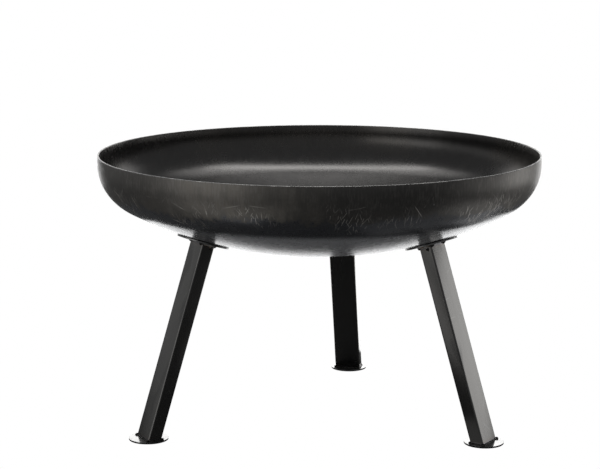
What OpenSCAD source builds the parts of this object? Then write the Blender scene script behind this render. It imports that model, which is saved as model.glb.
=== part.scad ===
// Fire bowl on three splayed legs.
// A pressed, dished steel bowl stands on three rectangular tubes. Each tube carries a round
// plate at both ends: the top plate is bolted to the bowl from inside, the foot plate lies
// flat on the floor. Millimetres, +Z up, origin on the floor under the bowl's centre,
// front towards -Y, midway between the two front legs.

/* [Bowl] */
// Outside diameter at the rim
bowl_d = 800; // [700:10:900]
// Thickness of the steel sheet
bowl_t = 3; // [2:0.5:4]
// Height of the rim above the floor
rim_h = 490; // [440:5:600]
// Height of the upright wall below the rim
wall_h = 16; // [5:1:30]
// Outside radius of the rounded knuckle between wall and bottom
knuckle_r = 86; // [70:1:120]
// Outside radius of the dished bottom
crown_r = 770; // [700:5:1000]

/* [Legs] */
// Distance from the bowl's axis to where a leg meets the underside
leg_circle_r = 233; // [200:1:260]
// Angle of each front leg, forward of the bowl's left-right line
front_leg_angle = 30.5; // [25:0.5:40]
// Angle of the back leg, clockwise of straight back as seen from above
back_leg_turn = 8.5; // [-10:0.5:10]
// Wide side of the leg tube
tube_w = 50; // [40:1:60]
// Narrow side of the leg tube
tube_d = 25; // [24:1:40]
// Wall thickness of the leg tube
tube_t = 2; // [1.5:0.5:2]
// Outside corner radius of the leg tube
tube_corner_r = 3; // [2.5:0.5:4]

/* [Plates] */
// Diameter of the top plates
top_plate_d = 95; // [80:1:110]
// Thickness of the top plates
top_plate_t = 3; // [2:0.5:5]
// Diameter of the foot plates
foot_plate_d = 70; // [62:1:90]
// Thickness of the foot plates
foot_plate_t = 3; // [2:0.5:5]

/* [Fixings] */
// Thread diameter of the leg bolts
bolt_d = 10; // [8:1:10]
// Length of the leg bolts under the head
bolt_len = 25; // [20:5:30]
// Width across the flats of bolt heads and nuts
hex_af = 17; // [13:1:17]
// Height of the bolt heads
head_h = 6.4; // [5:0.1:7]
// Height of the weld nuts
nut_h = 8; // [6:0.5:10]
// Diameter of the washers
washer_d = 20; // [16:1:24]
// Thickness of the washers
washer_t = 2; // [1:0.5:3]
// Diameter of the bolt holes in bowl and top plates
hole_d = 11; // [10.5:0.5:12]

/* [Welds] */
// Radius of the weld beads
weld_r = 3.5; // [2:0.5:4]
// Radius of the blobs at the corners of the foot welds
blob_r = 4; // [3.6:0.1:5]
// Length of the tack welds on the wide side of the tubes
tack_len = 7; // [4:1:12]

/* [Hidden] */
$fn = 96;
bowl_r = bowl_d / 2;
knuckle_x = bowl_r - knuckle_r;
knuckle_z = rim_h - wall_h;
// angle at which the crown runs into the knuckle, seen from the crown's centre
crown_angle = asin(knuckle_x / (crown_r - knuckle_r));
crown_z = knuckle_z + (crown_r - knuckle_r) * cos(crown_angle);
// a leg stands square to the crown, so its axis passes through the crown's centre
lean = asin(leg_circle_r / crown_r);
// distances along a leg's axis, up from the crown's surface at 0
plate_under = -top_plate_t;
nut_under = plate_under - nut_h;
seat_gap = crown_r - bowl_t - sqrt(pow(crown_r - bowl_t, 2) - pow(washer_d / 2, 2));
washer_under = bowl_t + seat_gap;
head_under = washer_under + washer_t;
// longest distance from the crown down to the floor, with room for the slanted cut
leg_reach = crown_z / cos(lean) - crown_r + tube_d;
// a leg's place: angle about the bowl's axis, measured from +X
back_angle = 90 - back_leg_turn;
left_angle = 180 + front_leg_angle;
right_angle = -front_leg_angle;
// length of the slanted cut at the foot, across the tube's narrow side
foot_run = tube_d / cos(lean);
// where the leg's axis meets the foot plate's top face, and where the plate's centre is
foot_x = (crown_z - foot_plate_t) * tan(lean);
foot_plate_x = crown_z * tan(lean);
// gap between threads, and the extra depth that clears a cut face
thread_gap = 0.1;
over = 1;

// ---- frames -------------------------------------------------------------

// Upright frame under one leg: +X points outwards from the bowl's axis.
module at_leg(angle) {
    rotate([0, 0, angle]) children();
}

// Slanted frame of one leg: origin on the bowl's underside, +Z up the leg's axis.
module along_leg(angle) {
    at_leg(angle)
        translate([0, 0, crown_z])
            rotate([0, -lean, 0])
                translate([0, 0, -crown_r])
                    children();
}

// ---- bowl ---------------------------------------------------------------

// Filled half section of the bowl, drawn in by "inset" from the outside surface.
module bowl_section(inset) {
    far = 2 * crown_r;
    intersection() {
        union() {
            // dished bottom
            intersection() {
                translate([0, crown_z]) circle(r = crown_r - inset);
                polygon([
                    [0, crown_z],
                    [0, crown_z - far],
                    [far * tan(crown_angle), crown_z - far]
                ]);
            }
            // rounded knuckle
            translate([knuckle_x, knuckle_z]) circle(r = knuckle_r - inset);
            // space inside the upright wall
            translate([0, knuckle_z]) square([bowl_r - inset, wall_h + over]);
        }
        // keep the half to the right of the axis, up to the rim
        translate([0, rim_h - bowl_r]) square([bowl_r, bowl_r + (inset > 0 ? over : 0)]);
    }
}

module bowl() {
    color([0.17, 0.17, 0.17])
    difference() {
        rotate_extrude()
            difference() {
                bowl_section(0);
                bowl_section(bowl_t);
            }
        for (angle = [back_angle, left_angle, right_angle])
            along_leg(angle)
                translate([0, 0, -bowl_t])
                    cylinder(d = hole_d, h = 3 * bowl_t);
    }
}

// ---- legs ---------------------------------------------------------------

// Rectangle with round corners, centred on the origin: width along Y, depth along X.
module rounded_rect(depth, width, r) {
    square([depth, width - 2 * r], center = true);
    square([depth - 2 * r, width], center = true);
    for (x = [-1, 1])
        for (y = [-1, 1])
            translate([x * (depth / 2 - r), y * (width / 2 - r)]) circle(r = r);
}

// Solid bar of the tube's outside, from the top plate to below the floor.
module tube_bar(angle) {
    along_leg(angle)
        translate([0, 0, -leg_reach])
            linear_extrude(leg_reach - top_plate_t)
                rounded_rect(tube_d, tube_w, tube_corner_r);
}

// Hollow of the tube, open at both ends.
module tube_hollow(angle) {
    along_leg(angle)
        translate([0, 0, -leg_reach - over])
            linear_extrude(leg_reach + 2 * over)
                rounded_rect(tube_d - 2 * tube_t, tube_w - 2 * tube_t, tube_corner_r - tube_t);
}

// Everything below the top face of the foot plates.
module below_foot_plates() {
    translate([-bowl_d, -bowl_d, foot_plate_t - bowl_d])
        cube([2 * bowl_d, 2 * bowl_d, bowl_d]);
}

module leg_tube(angle) {
    color([0.15, 0.15, 0.15])
    difference() {
        tube_bar(angle);
        tube_hollow(angle);
        below_foot_plates();
    }
}

// ---- plates -------------------------------------------------------------

module top_plate(angle) {
    color([0.2, 0.2, 0.2])
    along_leg(angle)
        translate([0, 0, plate_under])
            difference() {
                cylinder(d = top_plate_d, h = top_plate_t);
                translate([0, 0, -over]) cylinder(d = hole_d, h = top_plate_t + 2 * over);
            }
}

module foot_plate(angle) {
    color([0.2, 0.2, 0.2])
    at_leg(angle)
        translate([foot_plate_x, 0, 0])
            cylinder(d = foot_plate_d, h = foot_plate_t);
}

// ---- welds --------------------------------------------------------------

// Round rod from one point to another, lying along Y, with ball ends.
module bead_y(x, y0, y1) {
    translate([x, y0, 0]) rotate([-90, 0, 0]) cylinder(r = weld_r, h = y1 - y0);
    for (y = [y0, y1])
        translate([x, y, 0]) sphere(r = weld_r);
}

// The same rod lying along X.
module bead_x(y, x0, x1) {
    translate([x0, y, 0]) rotate([0, 90, 0]) cylinder(r = weld_r, h = x1 - x0);
    for (x = [x0, x1])
        translate([x, y, 0]) sphere(r = weld_r);
}

// Beads along both narrow sides and a tack near each corner of both wide sides.
module top_weld(angle) {
    bead_half = tube_d / 2 - tube_corner_r - 1;
    tack_y = tube_w / 2 - tube_corner_r - 1;
    color([0.4, 0.36, 0.3])
    difference() {
        along_leg(angle)
            translate([0, 0, plate_under]) {
                for (side = [-1, 1]) {
                    bead_x(side * tube_w / 2, -bead_half, bead_half);
                    bead_y(side * tube_d / 2, tack_y - tack_len, tack_y);
                    bead_y(side * tube_d / 2, -tack_y, tack_len - tack_y);
                }
            }
        tube_bar(angle);
        tube_hollow(angle);
        along_leg(angle)
            translate([0, 0, plate_under]) cylinder(d = top_plate_d, h = 2 * bowl_t + top_plate_t);
    }
}

// One bead all round the slanted foot of the tube, with a small blob at each corner.
module foot_weld(angle) {
    half_run = foot_run / 2;
    half_w = tube_w / 2;
    color([0.4, 0.36, 0.3])
    difference() {
        at_leg(angle)
            translate([foot_x, 0, foot_plate_t])
                for (side = [-1, 1]) {
                    translate([-half_run, side * half_w, 0])
                        rotate([0, 90, 0]) cylinder(r = weld_r, h = foot_run);
                    translate([side * half_run, -half_w, 0])
                        rotate([-90, 0, 0]) cylinder(r = weld_r, h = tube_w);
                    for (end = [-1, 1])
                        translate([side * half_run, end * half_w, 0]) sphere(r = blob_r);
                }
        tube_bar(angle);
        below_foot_plates();
    }
}

// ---- fixings ------------------------------------------------------------

module hex_prism(h) {
    cylinder(d = hex_af / cos(30), h = h, $fn = 6);
}

module weld_nut(angle) {
    color([0.45, 0.45, 0.46])
    along_leg(angle)
        translate([0, 0, nut_under])
            difference() {
                hex_prism(nut_h);
                translate([0, 0, -over]) cylinder(d = bolt_d + thread_gap, h = nut_h + 2 * over);
            }
}

module leg_bolt(angle) {
    color([0.5, 0.5, 0.52])
    along_leg(angle) {
        translate([0, 0, head_under]) hex_prism(head_h);
        translate([0, 0, head_under - bolt_len]) cylinder(d = bolt_d, h = bolt_len + over);
    }
}

module washer(angle) {
    color([0.55, 0.55, 0.56])
    along_leg(angle)
        translate([0, 0, washer_under])
            difference() {
                cylinder(d = washer_d, h = washer_t);
                translate([0, 0, -over]) cylinder(d = bolt_d + thread_gap, h = washer_t + 2 * over);
            }
}

bowl();
leg_tube(back_angle);  // leg_tube_back
leg_tube(left_angle);  // leg_tube_left
leg_tube(right_angle);  // leg_tube_right
top_plate(back_angle);  // top_plate_back
top_plate(left_angle);  // top_plate_left
top_plate(right_angle);  // top_plate_right
foot_plate(back_angle);  // foot_plate_back
foot_plate(left_angle);  // foot_plate_left
foot_plate(right_angle);  // foot_plate_right
top_weld(back_angle);  // top_weld_back
top_weld(left_angle);  // top_weld_left
top_weld(right_angle);  // top_weld_right
foot_weld(back_angle);  // foot_weld_back
foot_weld(left_angle);  // foot_weld_left
foot_weld(right_angle);  // foot_weld_right
weld_nut(back_angle);  // weld_nut_back
weld_nut(left_angle);  // weld_nut_left
weld_nut(right_angle);  // weld_nut_right
leg_bolt(back_angle);  // leg_bolt_back
leg_bolt(left_angle);  // leg_bolt_left
leg_bolt(right_angle);  // leg_bolt_right
washer(back_angle);  // washer_back
washer(left_angle);  // washer_left
washer(right_angle);  // washer_right
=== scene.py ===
# %% [markdown]
# # A fire bowl on three splayed legs
#
# The real thing is a dished end, pressed from 3 mm hot-rolled steel, 800 mm across. Three
# 50 x 25 mm tubes stand square to its underside. Each tube has a round plate welded to its
# top, bolted to the bowl, and a smaller round plate under its foot. Nothing is painted, so
# the look is all in the steel: dark mill scale, brushed streaks, scuffs and heat tint.
#
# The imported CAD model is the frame. It is loaded first and never moved, and every piece
# below is modelled in the same metres, around the same origin on the floor.

# %% Load the frame
import math
import random

import bpy
from mathutils import Matrix, Vector


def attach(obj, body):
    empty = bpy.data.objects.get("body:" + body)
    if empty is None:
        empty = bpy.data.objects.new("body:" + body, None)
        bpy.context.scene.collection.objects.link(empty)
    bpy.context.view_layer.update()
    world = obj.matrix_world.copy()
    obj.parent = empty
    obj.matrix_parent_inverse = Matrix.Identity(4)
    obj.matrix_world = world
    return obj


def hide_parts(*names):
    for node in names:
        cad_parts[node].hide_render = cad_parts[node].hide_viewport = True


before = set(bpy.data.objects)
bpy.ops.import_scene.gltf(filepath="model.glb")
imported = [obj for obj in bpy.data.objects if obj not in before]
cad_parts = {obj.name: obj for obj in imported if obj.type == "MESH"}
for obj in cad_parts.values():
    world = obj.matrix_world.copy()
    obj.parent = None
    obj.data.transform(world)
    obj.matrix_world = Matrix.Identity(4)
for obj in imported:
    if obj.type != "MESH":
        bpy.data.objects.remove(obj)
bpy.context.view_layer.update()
print("CAD nodes:", len(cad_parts))

# %% [markdown]
# ## The sizes that everything hangs on
#
# A dished end has a wide spherical bottom, the crown, that runs tangentially into a tighter
# rounded knuckle, and then into a short upright wall. The leg tubes stand square to the
# crown, so their axes all pass through the crown's centre, high above the bowl. That one
# fact gives the lean of the legs, so it is worked out here and not typed in.

# %% Sizes in metres
BOWL_R, SHEET, RIM_H, WALL_H = 0.400, 0.003, 0.490, 0.016
KNUCKLE_R, CROWN_R = 0.086, 0.770
LEG_CIRCLE_R = 0.233
TUBE_W, TUBE_D, TUBE_T, TUBE_CORNER = 0.050, 0.025, 0.002, 0.003
TOP_PLATE_R, FOOT_PLATE_R, PLATE_T = 0.0475, 0.035, 0.003
HOLE_R, BOLT_R, BOLT_LEN, HEX_AF, HEAD_H = 0.0055, 0.005, 0.025, 0.017, 0.0064
WASHER_R, WASHER_T = 0.010, 0.002

KNUCKLE_X, KNUCKLE_Z = BOWL_R - KNUCKLE_R, RIM_H - WALL_H
CROWN_ANGLE = math.asin(KNUCKLE_X / (CROWN_R - KNUCKLE_R))
CROWN_Z = KNUCKLE_Z + (CROWN_R - KNUCKLE_R) * math.cos(CROWN_ANGLE)
LEAN = math.asin(LEG_CIRCLE_R / CROWN_R)
LEG_REACH = CROWN_Z / math.cos(LEAN) - CROWN_R + TUBE_D
FOOT_X = (CROWN_Z - PLATE_T) * math.tan(LEAN)
FOOT_PLATE_X = CROWN_Z * math.tan(LEAN)
LEG_ANGLES = {leg: math.radians(degrees)
              for leg, degrees in (("back", 81.5), ("left", 210.5), ("right", -30.5))}
print(f"bottom of the bowl {CROWN_Z - CROWN_R:.4f} m up")
print(f"legs lean {math.degrees(LEAN):.2f} degrees")

# %% The leg's own frame
# +Z runs up the leg's axis from the underside of the bowl, +X points outwards.
UP_THE_LEG = (Matrix.Translation((0, 0, CROWN_Z)) @ Matrix.Rotation(-LEAN, 4, "Y")
              @ Matrix.Translation((0, 0, -CROWN_R)))

# %% [markdown]
# ## A few hand tools
#
# Blender's operators act on whatever is selected, and the loaded frame is all selected, so
# each step starts by clearing the selection. `pick` goes into edit mode with only the
# corners, edges or faces that pass a test. `draw_line` starts from a plane, melts it into
# one corner and extrudes that corner along a list of points, which is how an outline is
# drawn by hand. `turn` spins such an outline round the Z axis, as on a lathe.

# %% Selecting
def clear_selection():
    if bpy.context.object and bpy.context.object.mode != "OBJECT":
        bpy.ops.object.mode_set(mode="OBJECT")
    bpy.ops.object.select_all(action="DESELECT")


def choose(piece):
    clear_selection()
    piece.select_set(True)
    bpy.context.view_layer.objects.active = piece


def pick(piece, kind, test):
    choose(piece)
    bpy.ops.object.mode_set(mode="EDIT")
    bpy.ops.mesh.select_mode(type=kind)
    bpy.ops.mesh.select_all(action="DESELECT")
    bpy.ops.object.mode_set(mode="OBJECT")
    mesh = piece.data
    for part in {"VERT": mesh.vertices, "EDGE": mesh.edges, "FACE": mesh.polygons}[kind]:
        part.select = test(part)
    bpy.ops.object.mode_set(mode="EDIT")


def edge_ends(piece, edge):
    return [piece.data.vertices[i].co for i in edge.vertices]


# %% Drawing and turning
def draw_line(name, points):
    clear_selection()
    bpy.ops.mesh.primitive_plane_add(size=0.001)
    piece = bpy.context.object
    piece.name = piece.data.name = name
    bpy.ops.object.mode_set(mode="EDIT")
    bpy.ops.mesh.select_mode(type="VERT")
    bpy.ops.mesh.merge(type="CENTER")
    bpy.ops.transform.translate(value=points[0])
    for here, there in zip(points, points[1:]):
        step = Vector(there) - Vector(here)
        bpy.ops.mesh.extrude_vertices_move(TRANSFORM_OT_translate={"value": step})
    bpy.ops.object.mode_set(mode="OBJECT")
    return piece


def turn(name, outline, steps):
    piece = draw_line(name, [(x, 0, z) for x, z in outline])
    pick(piece, "VERT", lambda corner: True)
    bpy.ops.mesh.spin(steps=steps, angle=math.tau, center=(0, 0, 0), axis=(0, 0, 1))
    bpy.ops.mesh.select_all(action="SELECT")
    bpy.ops.mesh.remove_doubles(threshold=1e-6)
    bpy.ops.mesh.normals_make_consistent(inside=False)
    bpy.ops.object.mode_set(mode="OBJECT")
    return piece


def apply_modifier(piece, kind, **settings):
    choose(piece)
    modifier = piece.modifiers.new("step", kind)
    for key, value in settings.items():
        setattr(modifier, key, value)
    bpy.ops.object.modifier_apply(modifier="step")


def settle(piece, matrix=None):
    choose(piece)
    if matrix is not None:
        piece.matrix_world = matrix @ piece.matrix_world
    bpy.ops.object.transform_apply(location=True, rotation=True, scale=True)


def cut_level(piece, height, keep):
    """Cut off what is below the height where keep is 1, and what is above it where it's -1."""
    pick(piece, "FACE", lambda face: True)
    bpy.ops.mesh.bisect(plane_co=(0, 0, height), plane_no=(0, 0, keep),
                        clear_inner=True, use_fill=True)
    bpy.ops.object.mode_set(mode="OBJECT")


def smooth(piece, degrees):
    choose(piece)
    bpy.ops.object.shade_smooth_by_angle(angle=math.radians(degrees))


# %% One leg's piece, copied to all three legs
# Each copy keeps, in the attribute "place", where every corner is in its own leg's frame.
# Patterns that follow the leg read it, and a shift sideways keeps the legs from matching.
LEG_SHIFT = 3.0


def share_between_legs(piece, material):
    down_the_leg = UP_THE_LEG.inverted()
    for number, (leg, angle) in enumerate(LEG_ANGLES.items()):
        copy = bpy.data.objects.new(f"{piece.name}_{leg}_piece", piece.data.copy())
        bpy.context.scene.collection.objects.link(copy)
        place = copy.data.attributes.new("place", "FLOAT_VECTOR", "POINT")
        for corner, stored in zip(copy.data.vertices, place.data):
            stored.vector = down_the_leg @ corner.co + Vector((0, LEG_SHIFT * number, 0))
        copy.data.transform(Matrix.Rotation(angle, 4, "Z"))
        copy.data.materials.clear()
        copy.data.materials.append(material)
        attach(copy, "root")
        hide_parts(f"{piece.name}_{leg}")
    print(f"{piece.name}: {len(piece.data.polygons)} faces on each of three legs")
    bpy.data.objects.remove(piece)


# %% [markdown]
# ## Node tools for the finishes
#
# A material is a small graph. `put` adds a node, and fills its inputs with numbers or with
# links. `work_out` is one step of arithmetic, and `times`, `plus` and `scaled` are its
# common cases. Effects that several finishes share are node groups with named sockets,
# made once.

# %% Node tools
def put(tree, kind, inputs=None, **settings):
    node = tree.nodes.new(kind)
    for key, value in settings.items():
        setattr(node, key, value)
    for key, value in (inputs or {}).items():
        if isinstance(value, bpy.types.NodeSocket):
            tree.links.new(value, node.inputs[key])
        else:
            node.inputs[key].default_value = value
    return node


def use(tree, group, inputs):
    return put(tree, "ShaderNodeGroup", inputs, node_tree=group).outputs


def split(tree, vector):
    return put(tree, "ShaderNodeSeparateXYZ", {0: vector}).outputs


def work_out(tree, operation, *values):
    return put(tree, "ShaderNodeMath", dict(enumerate(values)), operation=operation).outputs[0]


def times(tree, first, *others):
    for other in others:
        first = work_out(tree, "MULTIPLY", first, other)
    return first


def plus(tree, first, *others):
    for other in others:
        first = work_out(tree, "ADD", first, other)
    return first


def scaled(tree, value, factor, start):
    return work_out(tree, "MULTIPLY_ADD", value, factor, start)


def ramp_between(tree, value, low, high, to_low=0.0, to_high=1.0):
    return put(tree, "ShaderNodeMapRange",
               {"Value": value, "From Min": low, "From Max": high,
                "To Min": to_low, "To Max": to_high},
               interpolation_type="SMOOTHSTEP").outputs[0]


def mix_colours(tree, mask, first, second):
    return put(tree, "ShaderNodeMix", {0: mask, 6: first, 7: second}, data_type="RGBA").outputs[2]


def move_pattern(tree, vector, **settings):
    return put(tree, "ShaderNodeMapping", {"Vector": vector, **settings}).outputs[0]


def noise(tree, vector, scale, detail, roughness):
    return put(tree, "ShaderNodeTexNoise", {"Vector": vector, "Scale": scale, "Detail": detail,
               "Roughness": roughness}).outputs["Fac"]


def new_group(name, inputs, outputs):
    tree = bpy.data.node_groups.new(name, "ShaderNodeTree")
    for label, kind, value in inputs:
        socket = tree.interface.new_socket(label, in_out="INPUT", socket_type=kind)
        if value is not None:
            socket.default_value = value
    for label, kind in outputs:
        tree.interface.new_socket(label, in_out="OUTPUT", socket_type=kind)
    return tree, put(tree, "NodeGroupInput").outputs, put(tree, "NodeGroupOutput").inputs


FLOAT, VECTOR, COLOUR = "NodeSocketFloat", "NodeSocketVector", "NodeSocketColor"

# %% [markdown]
# ## Mill scale
#
# Hot-rolled steel leaves the mill with a thin oxide skin. It is darker and glossier than
# bare steel, cloudy over a hand's width, mottled over a finger's width and slightly grainy.
# Three noises at those three sizes give the clouds, the mottle and the grain.

# %% Group: mill scale
mill_scale, gin, gout = new_group("mill_scale", [("Place", VECTOR, None)],
                                  [("Clouds", FLOAT), ("Mottle", FLOAT), ("Grain", FLOAT)])
clouds = noise(mill_scale, gin["Place"], scale=5.0, detail=4.0, roughness=0.55)
mottle = noise(mill_scale, gin["Place"], scale=48.0, detail=5.0, roughness=0.6)
grain = noise(mill_scale, gin["Place"], scale=700.0, detail=2.0, roughness=0.7)
mill_scale.links.new(ramp_between(mill_scale, clouds, 0.34, 0.66), gout["Clouds"])
mill_scale.links.new(ramp_between(mill_scale, mottle, 0.32, 0.68), gout["Mottle"])
mill_scale.links.new(grain, gout["Grain"])

# %% [markdown]
# ## Brushed streaks
#
# The wall was wiped and brushed up and down, so its streaks are long along one axis and
# hair-thin across it. The pattern is a noise whose input is squashed along the streak's
# axis. The caller squashes it, so one group serves the upright wall and the slanted legs.

# %% Group: streaks
streaks, gin, gout = new_group("streaks", [("Place", VECTOR, None)],
                               [("Broad", FLOAT), ("Fine", FLOAT)])
broad = noise(streaks, gin["Place"], scale=70.0, detail=3.0, roughness=0.65)
fine = noise(streaks, gin["Place"], scale=420.0, detail=2.0, roughness=0.6)
streaks.links.new(ramp_between(streaks, broad, 0.42, 0.64), gout["Broad"])
streaks.links.new(ramp_between(streaks, fine, 0.4, 0.7), gout["Fine"])


def streaks_along_z(tree, place, squash, aside=1.0):
    squashed = move_pattern(tree, place, Scale=(aside, aside, squash))
    return use(tree, streaks, {"Place": squashed})


# %% [markdown]
# ## Scuffs
#
# Handling leaves short, light scratches that break through the scale. A Voronoi pattern
# gives each cell a centre and a random colour. Here every cell draws one short stroke
# through its centre, turned by its own random angle, and only some cells are kept. The
# pattern is flat, so it is laid round the wall by arc length and height.

# %% Group: scuffs
scuffs, gin, gout = new_group("scuffs", [("Round", FLOAT, 0.0), ("Up", FLOAT, 0.0)],
                              [("Strokes", FLOAT), ("Scratches", FLOAT), ("Nicks", FLOAT)])
flat = put(scuffs, "ShaderNodeCombineXYZ", {0: gin["Round"], 1: gin["Up"]}).outputs[0]


def one_per_cell(tree, vector, cells, half_length, half_width, swing, kept):
    cell = put(tree, "ShaderNodeTexVoronoi", {"Vector": vector, "Scale": cells},
               voronoi_dimensions="2D").outputs
    chance = put(tree, "ShaderNodeSeparateColor", {0: cell["Color"]}).outputs
    arm = put(tree, "ShaderNodeVectorMath", {0: vector, 1: cell["Position"]},
              operation="SUBTRACT").outputs[0]
    angle = times(tree, work_out(tree, "SUBTRACT", chance[0], 0.5), swing)
    arm = put(tree, "ShaderNodeVectorRotate", {"Vector": arm, "Angle": angle},
              rotation_type="Z_AXIS").outputs[0]
    arm = split(tree, arm)
    across = ramp_between(tree, work_out(tree, "ABSOLUTE", arm[0]), half_width, 0.2 * half_width)
    along = ramp_between(tree, work_out(tree, "ABSOLUTE", arm[1]), half_length, 0.3 * half_length)
    keep = ramp_between(tree, chance[1], 1.0 - kept, 1.02 - kept)
    return times(tree, across, along, keep)


patchy = noise(scuffs, flat, scale=13.0, detail=3.0, roughness=0.6)
patchy = ramp_between(scuffs, patchy, 0.46, 0.6)
short = one_per_cell(scuffs, flat, cells=150.0, half_length=0.009, half_width=0.0006,
                     swing=1.3, kept=0.45)
shifted = move_pattern(scuffs, flat, Location=(0.4, 0.2, 0))
longer = one_per_cell(scuffs, shifted, cells=90.0, half_length=0.014, half_width=0.0006,
                      swing=1.6, kept=0.6)
strokes = times(scuffs, work_out(scuffs, "MAXIMUM", short, longer), patchy)
scratches = one_per_cell(scuffs, flat, cells=24.0, half_length=0.018, half_width=0.0009,
                         swing=4.6, kept=0.5)
nicks = one_per_cell(scuffs, flat, cells=33.0, half_length=0.0016, half_width=0.0014,
                     swing=1.0, kept=0.06)
scuffs.links.new(strokes, gout["Strokes"])
scuffs.links.new(scratches, gout["Scratches"])
scuffs.links.new(nicks, gout["Nicks"])

# %% [markdown]
# ## Heat tint
#
# Welding heat grows a clear oxide on bare steel. Away from the bead its colour runs from
# grey-blue through purple and brown to straw, all within a centimetre.

# %% Group: heat tint
heat_tint, gin, gout = new_group(
    "heat_tint", [("Distance", FLOAT, 0.0), ("Reach", FLOAT, 0.02), ("Ragged", FLOAT, 0.5)],
    [("Colour", COLOUR), ("Amount", FLOAT)])
wobble = scaled(heat_tint, gin["Ragged"], 0.5, 0.75)
along = work_out(heat_tint, "DIVIDE", gin["Distance"], gin["Reach"])
along = times(heat_tint, along, wobble)
tint = put(heat_tint, "ShaderNodeValToRGB", {"Fac": along})
bands = [(0.0, (0.16, 0.17, 0.2)), (0.25, (0.1, 0.12, 0.2)), (0.45, (0.17, 0.1, 0.14)),
         (0.62, (0.26, 0.15, 0.07)), (0.85, (0.34, 0.27, 0.14)), (1.0, (0.3, 0.28, 0.24))]
while len(tint.color_ramp.elements) < len(bands):
    tint.color_ramp.elements.new(0.5)
for element, (position, colour) in zip(tint.color_ramp.elements, bands):
    element.position = position
    element.color = (*colour, 1.0)
heat_tint.links.new(tint.outputs["Color"], gout["Colour"])
heat_tint.links.new(ramp_between(heat_tint, along, 1.0, 0.35), gout["Amount"])
print("node groups:", [group.name for group in bpy.data.node_groups])

# %% [markdown]
# ## The steels
#
# Every finish is the same metal shader with a different skin. `new_steel` makes the shader,
# and `dress` links the colour, the roughness and the fine relief that are worked out for it.

# %% A steel to start from
def new_steel(name):
    material = bpy.data.materials.new(name)
    material.use_nodes = True
    tree = material.node_tree
    shader = tree.nodes["Principled BSDF"]
    shader.inputs["Metallic"].default_value = 1.0
    place = put(tree, "ShaderNodeTexCoord").outputs["Object"]
    return material, tree, shader, place


def own_place(tree):
    return put(tree, "ShaderNodeAttribute", attribute_name="place").outputs["Vector"]


def near_the_bowl(tree, place):
    return ramp_between(tree, split(tree, place)["Z"], 0.1, 0.2)


def dress(tree, shader, colour, roughness, relief, strength, depth):
    bump = put(tree, "ShaderNodeBump", {"Height": relief, "Strength": strength, "Distance": depth})
    tree.links.new(colour, shader.inputs["Base Color"])
    tree.links.new(roughness, shader.inputs["Roughness"])
    tree.links.new(bump.outputs[0], shader.inputs["Normal"])


# %% [markdown]
# ## Outside of the bowl
#
# Three zones lie above each other. The wall and the upper knuckle are rubbed thin and
# brownish, with fine upright hairlines. At the left of the front, and half as strongly at the
# right end, they are lighter still: wear, and painted light where the wall catches the side
# lamps. The rubbed skin ends low on the knuckle in a ragged edge, and the scratches are along
# that edge, because that is where the bowl was dragged. Below it the crown is smooth, dark and
# a little blue. A painted sheen on it hardly shows from the front, but at a glancing angle it
# turns the lower edge pale.

# %% Where each zone of the outside lies
# Heights in metres above the floor, at which a zone fades in or out.
RUBBED_FROM, RUBBED_FULL = 0.434, 0.446
EDGE_FROM, EDGE_FULL, EDGE_FADES, EDGE_ENDS = 0.418, 0.434, 0.450, 0.478
SHEEN_FROM, SHEEN_FULL = 0.404, 0.388
# The lighter patch, wear and painted light: radians to the left of the front, half its width, and
# where it ends.
LIT_PATCH_TURN, LIT_PATCH_FULL, LIT_PATCH_ENDS = 0.40, 0.22, 0.62

outside, tree, shader, place = new_steel("bowl_outside")
skin = use(tree, mill_scale, {"Place": place})
lines = streaks_along_z(tree, place, 0.14)
where = split(tree, place)
height = where["Z"]
turned = work_out(tree, "ARCTAN2", where["X"], times(tree, where["Y"], -1.0))
marks = use(tree, scuffs, {"Round": times(tree, turned, BOWL_R), "Up": height})
ragged = plus(tree, times(tree, skin["Mottle"], 0.010), times(tree, lines["Broad"], 0.008),
              times(tree, skin["Clouds"], 0.014))
above = plus(tree, height, ragged)
rubbed = ramp_between(tree, above, RUBBED_FROM, RUBBED_FULL)
edge_band = times(tree, ramp_between(tree, above, EDGE_FROM, EDGE_FULL),
                  ramp_between(tree, above, EDGE_ENDS, EDGE_FADES))
# The lighter patch at the left of the front, and half as strong at the right end, is wear and
# painted light where the wall catches the side lamps.
from_lit_patch = work_out(tree, "ABSOLUTE", plus(tree, turned, LIT_PATCH_TURN))
from_lit_patch = plus(tree, from_lit_patch, times(tree, skin["Clouds"], 0.2))
lit_patch = ramp_between(tree, from_lit_patch, LIT_PATCH_ENDS, LIT_PATCH_FULL)
lit_right_end = ramp_between(tree, where["X"], 0.24, 0.38)
worn_and_lit = times(tree, rubbed, work_out(tree, "MAXIMUM", lit_patch, times(tree, lit_right_end, 0.5)),
             ramp_between(tree, lines["Broad"], 0.0, 1.0, 0.6, 1.0),
             ramp_between(tree, skin["Mottle"], 0.0, 1.0, 0.75, 1.0))
hair = times(tree, lines["Fine"], times(tree, rubbed, 0.45),
             ramp_between(tree, skin["Mottle"], 0.2, 0.9, 0.3, 1.0))
scratched = work_out(tree, "MAXIMUM", times(tree, marks["Strokes"], edge_band),
                     times(tree, marks["Scratches"], edge_band))
nicks = times(tree, marks["Nicks"], rubbed)
# Painted sheen: the lower crown's base colour turns pale at a glancing angle, weaker towards the
# sides.
facing = put(tree, "ShaderNodeLayerWeight", {"Blend": 0.5}).outputs["Facing"]
painted_sheen = times(tree, ramp_between(tree, facing, 0.52, 0.7),
             ramp_between(tree, height, SHEEN_FROM, SHEEN_FULL),
             ramp_between(tree, work_out(tree, "ABSOLUTE", where["X"]), 0.08, 0.22, 1.0, 0.25))

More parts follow.
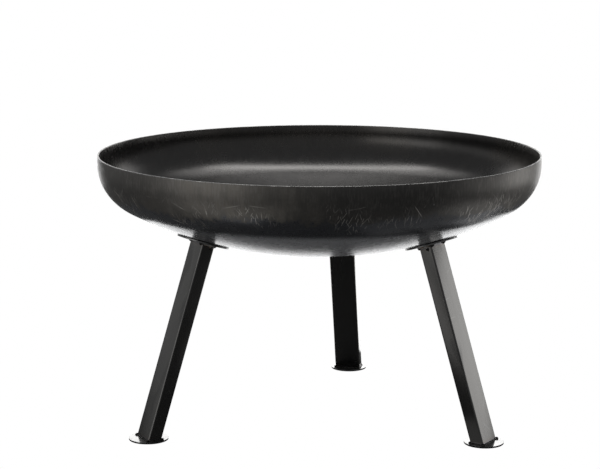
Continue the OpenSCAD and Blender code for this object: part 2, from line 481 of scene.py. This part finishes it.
# %% Finish: outside of the bowl
crown = mix_colours(tree, skin["Mottle"], (0.15, 0.154, 0.166, 1), (0.165, 0.17, 0.183, 1))
wall = mix_colours(tree, skin["Clouds"], (0.14, 0.134, 0.127, 1), (0.17, 0.162, 0.152, 1))
colour = mix_colours(tree, rubbed, crown, wall)
for mask, tone in ((worn_and_lit, (0.3, 0.278, 0.248, 1)), (hair, (0.36, 0.345, 0.32, 1)),
                   (scratched, (0.92, 0.88, 0.82, 1)), (painted_sheen, (0.72, 0.725, 0.75, 1)),
                   (nicks, (0.95, 0.95, 0.95, 1))):
    colour = mix_colours(tree, mask, colour, tone)
# Torn steel scatters light and a mirror doesn't, so the marks are less metallic and rougher.
scatter = work_out(tree, "MAXIMUM", work_out(tree, "MAXIMUM", scratched, nicks),
                   times(tree, worn_and_lit, 0.75))
scatter = work_out(tree, "MAXIMUM", scatter, hair)
metallic = ramp_between(tree, scatter, 0.0, 1.0, 0.6, 0.75)
metallic = work_out(tree, "SUBTRACT", metallic, times(tree, painted_sheen, 0.4))
tree.links.new(metallic, shader.inputs["Metallic"])
rough = plus(tree, scaled(tree, skin["Mottle"], 0.03, 0.26), times(tree, rubbed, 0.08),
             times(tree, scatter, 0.12))
relief = scaled(tree, lines["Fine"], 0.4, skin["Grain"])
dress(tree, shader, colour, rough, relief, strength=0.08, depth=0.0003)

# %% [markdown]
# ## Inside of the bowl
#
# The inside was hardly handled, so it keeps a smooth, dark scale, a little warmer in
# slow clouds where the oxide is thinner, with the faintest upright hairlines on the wall.

# %% Finish: inside of the bowl
inside, tree, shader, place = new_steel("bowl_inside")
skin = use(tree, mill_scale, {"Place": place})
lines = streaks_along_z(tree, place, 0.04)
on_wall = ramp_between(tree, split(tree, place)["Z"], 0.42, 0.46)
colour = mix_colours(tree, skin["Mottle"], (0.126, 0.122, 0.119, 1), (0.138, 0.134, 0.13, 1))
warm = times(tree, skin["Clouds"], on_wall)
colour = mix_colours(tree, warm, colour, (0.17, 0.159, 0.146, 1))
hair = times(tree, lines["Fine"], times(tree, on_wall, 0.15))
colour = mix_colours(tree, hair, colour, (0.28, 0.26, 0.24, 1))
rough = plus(tree, scaled(tree, skin["Clouds"], 0.03, 0.25), times(tree, skin["Mottle"], 0.02))
dress(tree, shader, colour, rough, skin["Grain"], strength=0.05, depth=0.0002)

# %% [markdown]
# ## The cut rim
#
# The rim was cut after pressing and then deburred, so it is bare steel. It is the brightest
# line on the bowl, broken by the fine marks of the cut.

# %% Finish: cut rim
cut_rim, tree, shader, place = new_steel("cut_rim")
lines = streaks_along_z(tree, place, 0.1)
colour = mix_colours(tree, lines["Broad"], (0.25, 0.245, 0.235, 1), (0.44, 0.43, 0.41, 1))
rough = ramp_between(tree, lines["Fine"], 0.0, 1.0, 0.25, 0.42)
dress(tree, shader, colour, rough, lines["Fine"], strength=0.08, depth=0.0003)

# %% [markdown]
# ## Leg tube
#
# Drawn tube has faint lines along its length, a smooth, dark skin, a few smudges and some
# light scratches. Near both ends the weld has tinted it.

# %% Finish: leg tube
tube_skin, tree, shader, place = new_steel("tube_steel")
along = own_place(tree)
skin = use(tree, mill_scale, {"Place": along})
lines = streaks_along_z(tree, along, 0.02)
parts = split(tree, along)
colour = mix_colours(tree, skin["Clouds"], (0.191, 0.187, 0.18, 1), (0.206, 0.202, 0.194, 1))
colour = mix_colours(tree, times(tree, lines["Broad"], 0.12), colour, (0.26, 0.255, 0.25, 1))
smudge = noise(tree, move_pattern(tree, along, Scale=(1.0, 1.0, 0.4)),
               scale=34.0, detail=1.0, roughness=0.4)
smudge = ramp_between(tree, smudge, 0.6, 0.74)
colour = mix_colours(tree, times(tree, smudge, 0.5), colour, (0.14, 0.138, 0.135, 1))
from_top = work_out(tree, "SUBTRACT", -PLATE_T, parts["Z"])
from_foot = work_out(tree, "SUBTRACT", split(tree, place)["Z"], PLATE_T)
for distance, reach in ((from_top, 0.009), (from_foot, 0.008)):
    heat = use(tree, heat_tint, {"Distance": distance, "Reach": reach, "Ragged": skin["Mottle"]})
    colour = mix_colours(tree, times(tree, heat["Amount"], 0.15), colour, heat["Colour"])
marks = use(tree, scuffs, {"Round": plus(tree, parts["X"], parts["Y"]), "Up": parts["Z"]})
colour = mix_colours(tree, times(tree, marks["Scratches"], 0.18), colour, (0.5, 0.5, 0.49, 1))
rough = plus(tree, scaled(tree, skin["Clouds"], 0.05, 0.2), times(tree, smudge, 0.08))
dress(tree, shader, colour, rough, skin["Grain"], strength=0.05, depth=0.0002)

# %% [markdown]
# ## Plates
#
# The round plates are cut from the same kind of sheet as the bowl. Their flat faces are
# smooth, smoothest on the feet, and the edges show the upright marks of the cut.

# %% Finish: plates
plate_skin, tree, shader, place = new_steel("plate_steel")
along = own_place(tree)
skin = use(tree, mill_scale, {"Place": along})
cut = streaks_along_z(tree, along, 0.05, aside=3.0)
colour = mix_colours(tree, skin["Mottle"], (0.27, 0.268, 0.264, 1), (0.3, 0.297, 0.292, 1))
colour = mix_colours(tree, times(tree, cut["Fine"], 0.12), colour, (0.4, 0.39, 0.37, 1))
rough = scaled(tree, near_the_bowl(tree, place), 0.12, scaled(tree, skin["Clouds"], 0.05, 0.13))
dress(tree, shader, colour, rough, skin["Grain"], strength=0.05, depth=0.0002)

# %% [markdown]
# ## Weld metal
#
# The long bead on the narrow side of the tube, 25 mm from its middle, is near-white, part
# brushed bare metal and part painted glint, and the heat has turned it copper in places. The
# small tacks on the wide sides, the drops below the bead and the foot beads are near-black.
# The ripples are modelled, so the material adds only colour and a fine grain. The legs' own
# frames are shifted by LEG_SHIFT each, so the distance is wrapped back before it is compared.

# %% Finish: weld metal
weld_skin, tree, shader, place = new_steel("weld_metal")
along = own_place(tree)
skin = use(tree, mill_scale, {"Place": move_pattern(tree, along, Scale=(6.0, 6.0, 6.0))})
aside = split(tree, along)
off_middle = work_out(tree, "ABSOLUTE",
                      work_out(tree, "WRAP", aside["Y"], LEG_SHIFT / 2, -LEG_SHIFT / 2))
off_centre = work_out(tree, "ABSOLUTE", aside["X"])
# Near-white on the narrow-side bead below the plate: brushed bare metal and a painted glint, less
# metallic so it stays bright.
brushed_glint = times(tree, ramp_between(tree, off_middle, 0.0256, 0.0268), near_the_bowl(tree, place),
                ramp_between(tree, aside["Z"], -PLATE_T - 0.0054, -PLATE_T - 0.0046),
                ramp_between(tree, off_centre, 0.0115, 0.0098))
copper = ramp_between(tree, skin["Mottle"], 0.55, 0.95)
bright_glint = mix_colours(tree, copper, (0.95, 0.93, 0.89, 1), (0.6, 0.36, 0.18, 1))
# Near-black on the tacks, the drops below the bead and the foot beads.
near_black_weld = mix_colours(tree, skin["Mottle"], (0.035, 0.034, 0.033, 1), (0.09, 0.086, 0.08, 1))
metallic = ramp_between(tree, brushed_glint, 0.0, 1.0, 1.0, 0.6)
tree.links.new(metallic, shader.inputs["Metallic"])
colour = mix_colours(tree, brushed_glint, near_black_weld, bright_glint)
rough = ramp_between(tree, brushed_glint, 0.0, 1.0, 0.3, 0.12)
dress(tree, shader, colour, rough, skin["Grain"], strength=0.15, depth=0.0003)

# %% [markdown]
# ## Zinc plate and bare nuts
#
# The bolts and washers are bought in with a thin zinc coat: pale, slightly blue, satin,
# with a faint crystal mottle. The weld nuts are plain steel, because zinc and welding
# don't go together. They stay as the CAD model has them, so they only get a finish.

# %% Finishes: zinc plate and bare steel
def plain_finish(name, from_leg, dark, pale, smoothest, roughest, strength):
    material, tree, shader, place = new_steel(name)
    if from_leg:
        place = own_place(tree)
    skin = use(tree, mill_scale, {"Place": move_pattern(tree, place, Scale=(4.0, 4.0, 4.0))})
    rough = ramp_between(tree, skin["Clouds"], 0.0, 1.0, smoothest, roughest)
    colour = mix_colours(tree, skin["Mottle"], dark, pale)
    dress(tree, shader, colour, rough, skin["Grain"], strength, depth=0.0002)
    return material


zinc = plain_finish("zinc_plate", True, dark=(0.52, 0.53, 0.54, 1), pale=(0.66, 0.66, 0.64, 1),
                    smoothest=0.26, roughest=0.4, strength=0.1)
nut_skin = plain_finish("bare_nut", False, dark=(0.28, 0.275, 0.27, 1), pale=(0.4, 0.39, 0.37, 1),
                        smoothest=0.3, roughest=0.5, strength=0.2)
for leg in LEG_ANGLES:
    for material_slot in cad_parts[f"weld_nut_{leg}"].material_slots:
        material_slot.material = nut_skin
print("materials:", [material.name for material in bpy.data.materials if material.use_nodes])

# %% [markdown]
# ## The bowl
#
# The outside outline is drawn once, from the bottom of the crown to the rim, and spun all
# the way round. Solidify then gives the skin its 3 mm inwards, which keeps the outside at
# the CAD's size. The rim's two edges are rounded off, and the bolt holes are cut last.

# %% Spin the outside of the bowl
crown_steps, knuckle_steps = 40, 24
outline = []
for i in range(crown_steps):
    a = CROWN_ANGLE * i / crown_steps
    outline.append((CROWN_R * math.sin(a), CROWN_Z - CROWN_R * math.cos(a)))
for i in range(knuckle_steps + 1):
    a = CROWN_ANGLE + (math.pi / 2 - CROWN_ANGLE) * i / knuckle_steps
    outline.append((KNUCKLE_X + KNUCKLE_R * math.sin(a), KNUCKLE_Z - KNUCKLE_R * math.cos(a)))
outline.append((BOWL_R, RIM_H))
bowl = turn("bowl_shell", outline, 256)
apply_modifier(bowl, "SOLIDIFY", thickness=SHEET, offset=-1.0, use_even_offset=True)
print("shell:", len(bowl.data.polygons), "faces")

# %% Round the rim's edges
RIM_EASE = 0.0009


def on_rim(edge):
    a, b = edge_ends(bowl, edge)
    level = min(a.z, b.z) > RIM_H - 1e-5
    return level and abs(a.xy.length - b.xy.length) < 1e-4


pick(bowl, "EDGE", on_rim)
bpy.ops.mesh.bevel(offset=RIM_EASE, segments=3, profile=0.5, affect="EDGES")
bpy.ops.object.mode_set(mode="OBJECT")

# %% Cut the bolt holes
for angle in LEG_ANGLES.values():
    clear_selection()
    bpy.ops.mesh.primitive_cylinder_add(vertices=48, radius=HOLE_R, depth=4 * SHEET)
    cutter = bpy.context.object
    cutter.matrix_world = (Matrix.Rotation(angle, 4, "Z") @ UP_THE_LEG
                           @ Matrix.Translation((0, 0, SHEET / 2)))
    bpy.context.view_layer.update()
    apply_modifier(bowl, "BOOLEAN", operation="DIFFERENCE", object=cutter, solver="EXACT")
    bpy.data.objects.remove(cutter)
smooth(bowl, 40)

# %% Give each side of the bowl its finish
for material in (outside, inside, cut_rim):
    bowl.data.materials.append(material)
for face in bowl.data.polygons:
    out = Vector((face.center.x, face.center.y, 0)).normalized()
    facing_in = face.normal.z - face.normal.dot(out)
    at_rim = face.center.z > RIM_H - RIM_EASE - 0.00005
    face.material_index = 2 if at_rim else (1 if facing_in > 0 else 0)
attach(bowl, "root")
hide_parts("bowl")
print("bowl:", len(bowl.data.polygons), "faces")

# %% [markdown]
# ## The leg tubes
#
# A tube starts as a block of its outside size. Its long edges are rounded, the ends are
# opened, Solidify gives it a 2 mm wall, and once it stands at its slant the foot is cut
# level with the top of the foot plate.

# %% Model a tube
clear_selection()
bpy.ops.mesh.primitive_cube_add(size=1)
tube = bpy.context.object
tube.name = "leg_tube"
tube_length = LEG_REACH - PLATE_T
tube.matrix_world = (Matrix.Translation((0, 0, -PLATE_T - tube_length / 2))
                     @ Matrix.Diagonal((TUBE_D, TUBE_W, tube_length, 1)))
settle(tube)


def runs_along(edge):
    top, bottom = edge_ends(tube, edge)
    return abs(top.z - bottom.z) > 0.1


pick(tube, "EDGE", runs_along)
bpy.ops.mesh.bevel(offset=TUBE_CORNER, segments=7, profile=0.5, affect="EDGES")
bpy.ops.object.mode_set(mode="OBJECT")
pick(tube, "FACE", lambda face: abs(face.normal.z) > 0.9)
bpy.ops.mesh.delete(type="FACE")
bpy.ops.object.mode_set(mode="OBJECT")
apply_modifier(tube, "SOLIDIFY", thickness=TUBE_T, offset=-1.0, use_even_offset=True)
settle(tube, UP_THE_LEG)
cut_level(tube, PLATE_T, 1)
smooth(tube, 30)
share_between_legs(tube, tube_skin)

# %% [markdown]
# ## The round plates
#
# Both are turned from a small outline with broken edges. The top plate has a bolt hole and
# lies square to the leg, and the foot plate is solid and lies flat on the floor.

# %% Turn the plates
EASE = 0.0004
top_plate = turn("top_plate", [(HOLE_R, -PLATE_T), (TOP_PLATE_R - EASE, -PLATE_T),
                               (TOP_PLATE_R, -PLATE_T + EASE), (TOP_PLATE_R, -EASE),
                               (TOP_PLATE_R - EASE, 0), (HOLE_R, 0), (HOLE_R, -PLATE_T)], 128)
settle(top_plate, UP_THE_LEG)
smooth(top_plate, 30)
share_between_legs(top_plate, plate_skin)

foot_plate = turn("foot_plate", [(0, 0), (FOOT_PLATE_R - EASE, 0), (FOOT_PLATE_R, EASE),
                                 (FOOT_PLATE_R, PLATE_T - EASE), (FOOT_PLATE_R - EASE, PLATE_T),
                                 (0, PLATE_T)], 128)
settle(foot_plate, Matrix.Translation((FOOT_PLATE_X, 0, 0)))
smooth(foot_plate, 30)
share_between_legs(foot_plate, plate_skin)

# %% [markdown]
# ## The welds
#
# A hand-laid bead looks like a row of coins that lean on each other, because the welder
# pauses every couple of millimetres. So a bead is a row of flattened spheres along the
# seam, a little uneven, with a bigger one where the torch turned a corner. Voxel Remesh
# melts the row into one skin and Smooth takes off the edge. The half that would lie inside
# the plate is cut away.

# %% Lay a bead
COIN_STEP, COIN_JITTER, COIN_LEAN = 0.0017, 0.00025, math.radians(28)
COIN_THIN, COIN_THICK, VOXEL = 0.42, 0.55, 0.00045


def walk(points):
    for start, end in zip(points, points[1:]):
        start, end = Vector(start), Vector(end)
        count = max(1, round((end - start).length / COIN_STEP))
        for i in range(count):
            yield start.lerp(end, i / count), (end - start).normalized()


def lay_bead(coins, spots, seed):
    chance = random.Random(seed)
    for position, direction, radius in spots:
        clear_selection()
        bpy.ops.mesh.primitive_uv_sphere_add(segments=20, ring_count=12, radius=radius)
        coin = bpy.context.object
        lean = direction.to_track_quat("Z", "Y").to_matrix().to_4x4()
        jitter = Vector([chance.uniform(-COIN_JITTER, COIN_JITTER) for _ in range(3)])
        coin.matrix_world = (Matrix.Translation(position + jitter) @ lean
                             @ Matrix.Rotation(COIN_LEAN, 4, "X")
                             @ Matrix.Diagonal((1, 1, chance.uniform(COIN_THIN, COIN_THICK), 1)))
        coins.append(coin)


def melt(name, coins):
    clear_selection()
    for coin in coins:
        coin.select_set(True)
    bpy.context.view_layer.objects.active = coins[0]
    bpy.ops.object.join()
    bead = bpy.context.object
    bead.name = bead.data.name = name
    settle(bead)
    apply_modifier(bead, "REMESH", mode="VOXEL", voxel_size=VOXEL)
    apply_modifier(bead, "SMOOTH", factor=0.5, iterations=2)
    return bead


# %% Top welds
HALF_D, HALF_W, ROUND = TUBE_D / 2, TUBE_W / 2, TUBE_CORNER
WRAP_ROUND, TACK_IN = 0.006, 0.0035
ALONG_X, ALONG_Y = Vector((1, 0, 0)), Vector((0, 1, 0))
seam = [(HALF_D, HALF_W - WRAP_ROUND), (HALF_D, HALF_W - ROUND), (HALF_D - ROUND, HALF_W),
        (-HALF_D + ROUND, HALF_W), (-HALF_D, HALF_W - ROUND), (-HALF_D, HALF_W - WRAP_ROUND)]
coins = []
for side, seed in ((1, 3), (-1, 8)):
    points = [(x, side * y, -PLATE_T) for x, y in seam]
    size = random.Random(seed + 40)
    spots = [(at, way, size.uniform(0.0038, 0.0046)) for at, way in walk(points)]
    lay_bead(coins, spots, seed)
    # A tack on each wide-side corner, two drops below the bead, and a lump in its middle.
    tacks = [(Vector((end * HALF_D, side * (HALF_W - TACK_IN), -PLATE_T - 0.001)), ALONG_Y, 0.0048)
             for end in (-1, 1)]
    tacks += [(Vector((-side * x, side * HALF_W, -PLATE_T - below)), ALONG_X, radius)
              for x, below, radius in ((0.005, 0.0072, 0.0032), (0.0025, 0.0064, 0.0026),
                                       (0.002, 0.0, 0.0054))]
    lay_bead(coins, tacks, seed + 1)
top_weld = melt("top_weld", coins)
cut_level(top_weld, -0.5 * PLATE_T, -1)
settle(top_weld, UP_THE_LEG)
smooth(top_weld, 60)
share_between_legs(top_weld, weld_skin)

# %% Foot welds
run = HALF_D / math.cos(LEAN)
ring = [(run, -HALF_W + ROUND), (run, HALF_W - ROUND), (run - ROUND, HALF_W),
        (-run + ROUND, HALF_W), (-run, HALF_W - ROUND), (-run, -HALF_W + ROUND),
        (-run + ROUND, -HALF_W), (run - ROUND, -HALF_W), (run, -HALF_W + ROUND)]
points = [(FOOT_X + x, y, PLATE_T) for x, y in ring]
size = random.Random(21)
spots = [(at, way, size.uniform(0.0020, 0.0026)) for at, way in walk(points)]
coins = []
lay_bead(coins, spots, 5)
corners = [(Vector((FOOT_X + side * run, end * HALF_W, PLATE_T)), ALONG_Y, 0.0038)
           for side in (-1, 1) for end in (-1, 1)]
lay_bead(coins, corners, 6)
foot_weld = melt("foot_weld", coins)
cut_level(foot_weld, 0.5 * PLATE_T, 1)
smooth(foot_weld, 60)
share_between_legs(foot_weld, weld_skin)

# %% [markdown]
# ## Bolts and washers
#
# A hex head is a six-sided block whose corners a cone has taken off. The shank is turned
# with a row of thread crests, and the washer is a stamped ring, so its edges are rounded.

# %% Model a bolt
seat_gap = CROWN_R - SHEET - math.sqrt((CROWN_R - SHEET) ** 2 - WASHER_R ** 2)
WASHER_Z = SHEET + seat_gap
HEAD_Z = WASHER_Z + WASHER_T
clear_selection()
bpy.ops.mesh.primitive_cylinder_add(vertices=6, radius=HEX_AF / 2 / math.cos(math.pi / 6),
                                    depth=HEAD_H)
bolt = bpy.context.object
bolt.name = "leg_bolt"
top_r = 0.47 * HEX_AF
clear_selection()
bpy.ops.mesh.primitive_cone_add(vertices=96, radius1=top_r + HEAD_H / math.tan(math.pi / 6),
                                radius2=top_r, depth=HEAD_H)
cone = bpy.context.object
apply_modifier(bolt, "BOOLEAN", operation="INTERSECT", object=cone, solver="EXACT")
bpy.data.objects.remove(cone)
pick(bolt, "EDGE", lambda edge: True)
bpy.ops.mesh.bevel(offset=0.00015, segments=1, affect="EDGES")
bpy.ops.object.mode_set(mode="OBJECT")
settle(bolt, Matrix.Translation((0, 0, HEAD_Z + HEAD_H / 2)))

# %% Turn its thread
PITCH, PLAY = 0.0015, 0.0001
tip = HEAD_Z - BOLT_LEN
profile = [(0, tip), (BOLT_R - 0.0012, tip)]
crests = int((BOLT_LEN - 0.003) / PITCH)
for i in range(crests):
    low = tip + 0.0004 + i * PITCH
    profile += [(BOLT_R - 0.0009, low), (BOLT_R, low + 0.4 * PITCH), (BOLT_R, low + 0.6 * PITCH)]
profile += [(BOLT_R - PLAY, tip + 0.0006 + crests * PITCH), (BOLT_R - PLAY, HEAD_Z + 0.001),
            (0, HEAD_Z + 0.001)]
shank = turn("shank", profile, 40)
clear_selection()
shank.select_set(True)
bolt.select_set(True)
bpy.context.view_layer.objects.active = bolt
bpy.ops.object.join()
settle(bolt, UP_THE_LEG)
smooth(bolt, 25)
share_between_legs(bolt, zinc)

# %% Turn a washer
inner, soft = BOLT_R + 0.00005, 0.0003
washer = turn("washer", [(inner, 0), (WASHER_R - soft, 0), (WASHER_R, soft),
                         (WASHER_R, WASHER_T - soft), (WASHER_R - soft, WASHER_T),
                         (inner, WASHER_T), (inner, 0)], 72)
settle(washer, Matrix.Translation((0, 0, WASHER_Z)))
settle(washer, UP_THE_LEG)
smooth(washer, 35)
share_between_legs(washer, zinc)

# %% [markdown]
# ## Floor, light and camera
#
# The camera sees a plain pale floor that runs into a white surround. The steel sees a dim
# room with soft boxes in it, because a surround that is white all round would turn dark
# steel pale. One box is overhead and a little behind the bowl, and panels stand behind it,
# to the left of the camera and round to the right. Low tables on the floor light the
# underside. Behind the camera it is dark, which keeps the middle of the bowl dark. The
# floor is clear from below, so that the underside can be looked at.

# %% Floor and surround
FLOOR_DROP, FLOOR_TONE, ROOM_GLOW = 0.0002, 0.12, 0.135
WHITE = (1, 1, 1, 1)


def camera_sees(tree, seen, others):
    camera_ray = put(tree, "ShaderNodeLightPath").outputs["Is Camera Ray"]
    return put(tree, "ShaderNodeMixShader", {0: camera_ray, 1: others.outputs[0],
                                             2: seen.outputs[0]})


clear_selection()
bpy.ops.mesh.primitive_plane_add(size=24, location=(0, 0, -FLOOR_DROP))
floor = bpy.context.object
floor.name = "floor"
pale = bpy.data.materials.new("pale_floor")
pale.use_nodes = True
tree = pale.node_tree
tree.nodes.clear()
diffuse = put(tree, "ShaderNodeBsdfDiffuse", {"Color": (FLOOR_TONE, FLOOR_TONE, FLOOR_TONE, 1)})
glow = put(tree, "ShaderNodeEmission", {"Color": WHITE, "Strength": 1.0})
from_above = camera_sees(tree, glow, diffuse)
below = put(tree, "ShaderNodeNewGeometry").outputs["Backfacing"]
clear = put(tree, "ShaderNodeBsdfTransparent")
surface = put(tree, "ShaderNodeMixShader", {0: below, 1: from_above.outputs[0],
                                            2: clear.outputs[0]})
put(tree, "ShaderNodeOutputMaterial", {"Surface": surface.outputs[0]})
floor.data.materials.append(pale)

world = bpy.data.worlds.new("surround")
bpy.context.scene.world = world
world.use_nodes = True
tree = world.node_tree
tree.nodes.clear()
white = put(tree, "ShaderNodeBackground", {"Color": WHITE, "Strength": 1.0})
room = put(tree, "ShaderNodeBackground", {"Color": (0.95, 0.97, 1, 1), "Strength": ROOM_GLOW})
put(tree, "ShaderNodeOutputWorld", {"Surface": camera_sees(tree, white, room).outputs[0]})

# %% Soft boxes
AIM, TABLE_Z = Vector((0, 0, 0.4)), 0.005


def soft_box(name, width, depth, brightness):
    """An area light whose brightness doesn't change with its size. The camera can't see it."""
    clear_selection()
    bpy.ops.object.light_add(type="AREA", location=(0, 0, 0))
    box = bpy.context.object
    box.name = name
    box.data.shape = "RECTANGLE"
    box.data.size, box.data.size_y = width, depth
    box.data.energy = brightness * math.pi * width * depth
    box.visible_camera = False
    return box


# Name, distance, azimuth, elevation, width, height and brightness. Azimuth 0 is straight
# ahead of the bowl's front, and it grows to the right.
LIGHTS = [
    ("overhead_box", 2.2, 180, 74, 2.3, 0.5, 3.5),
    ("high_back", 2.6, 180, 59, 3.0, 0.6, 0.85),
    ("back_panel", 1.7, 180, -3, 2.6, 0.62, 2.6),
    ("back_top", 1.75, 180, 18, 2.6, 0.7, 0.9),
    ("left_front", 1.9, -52, 4, 1.6, 1.1, 0.5),
    ("left_side", 1.9, -100, 3, 1.5, 1.0, 0.12),
    ("left_back", 2.1, -140, 3, 1.5, 1.0, 0.1),
    ("right_side", 1.9, 112, -3.5, 1.05, 0.56, 1.25),
    ("right_front", 1.9, 82, -3, 0.9, 0.6, 0.3),
]
for name, distance, azimuth, elevation, width, height, brightness in LIGHTS:
    box = soft_box(name, width, height, brightness)
    a, e = math.radians(azimuth), math.radians(elevation)
    away = Vector((math.sin(a) * math.cos(e), -math.cos(a) * math.cos(e), math.sin(e)))
    box.location = AIM + away * distance
    box.rotation_euler = away.to_track_quat("Z", "Y").to_euler()
# Name, x, y, width, depth and brightness.
TABLES = [
    ("back_table", 0.03, 1.15, 1.1, 1.4, 2.1),
    ("left_table", -0.62, -0.6, 0.75, 0.42, 0.33),
    ("right_table", 0.38, -0.25, 0.46, 0.4, 0.1),
    ("right_end_table", 0.75, -0.05, 0.6, 0.6, 0.45),
]
for name, x, y, width, depth, brightness in TABLES:
    table = soft_box(name, width, depth, brightness)
    table.location, table.rotation_euler = (x, y, TABLE_Z), (math.pi, 0, 0)

# %% Camera
CAMERA_PLACE, CAMERA_TILT, CAMERA_TURN, LENS = (0.1002, -3.2622, 0.9442), 79.48, 2.37, 109.03
clear_selection()
bpy.ops.object.camera_add(location=CAMERA_PLACE, rotation=(math.radians(CAMERA_TILT), 0,
                                                           math.radians(CAMERA_TURN)))
camera = bpy.context.object
camera.data.sensor_width = 36.0
camera.data.lens = LENS
bpy.context.scene.camera = camera
bpy.context.scene.view_settings.view_transform = "Standard"
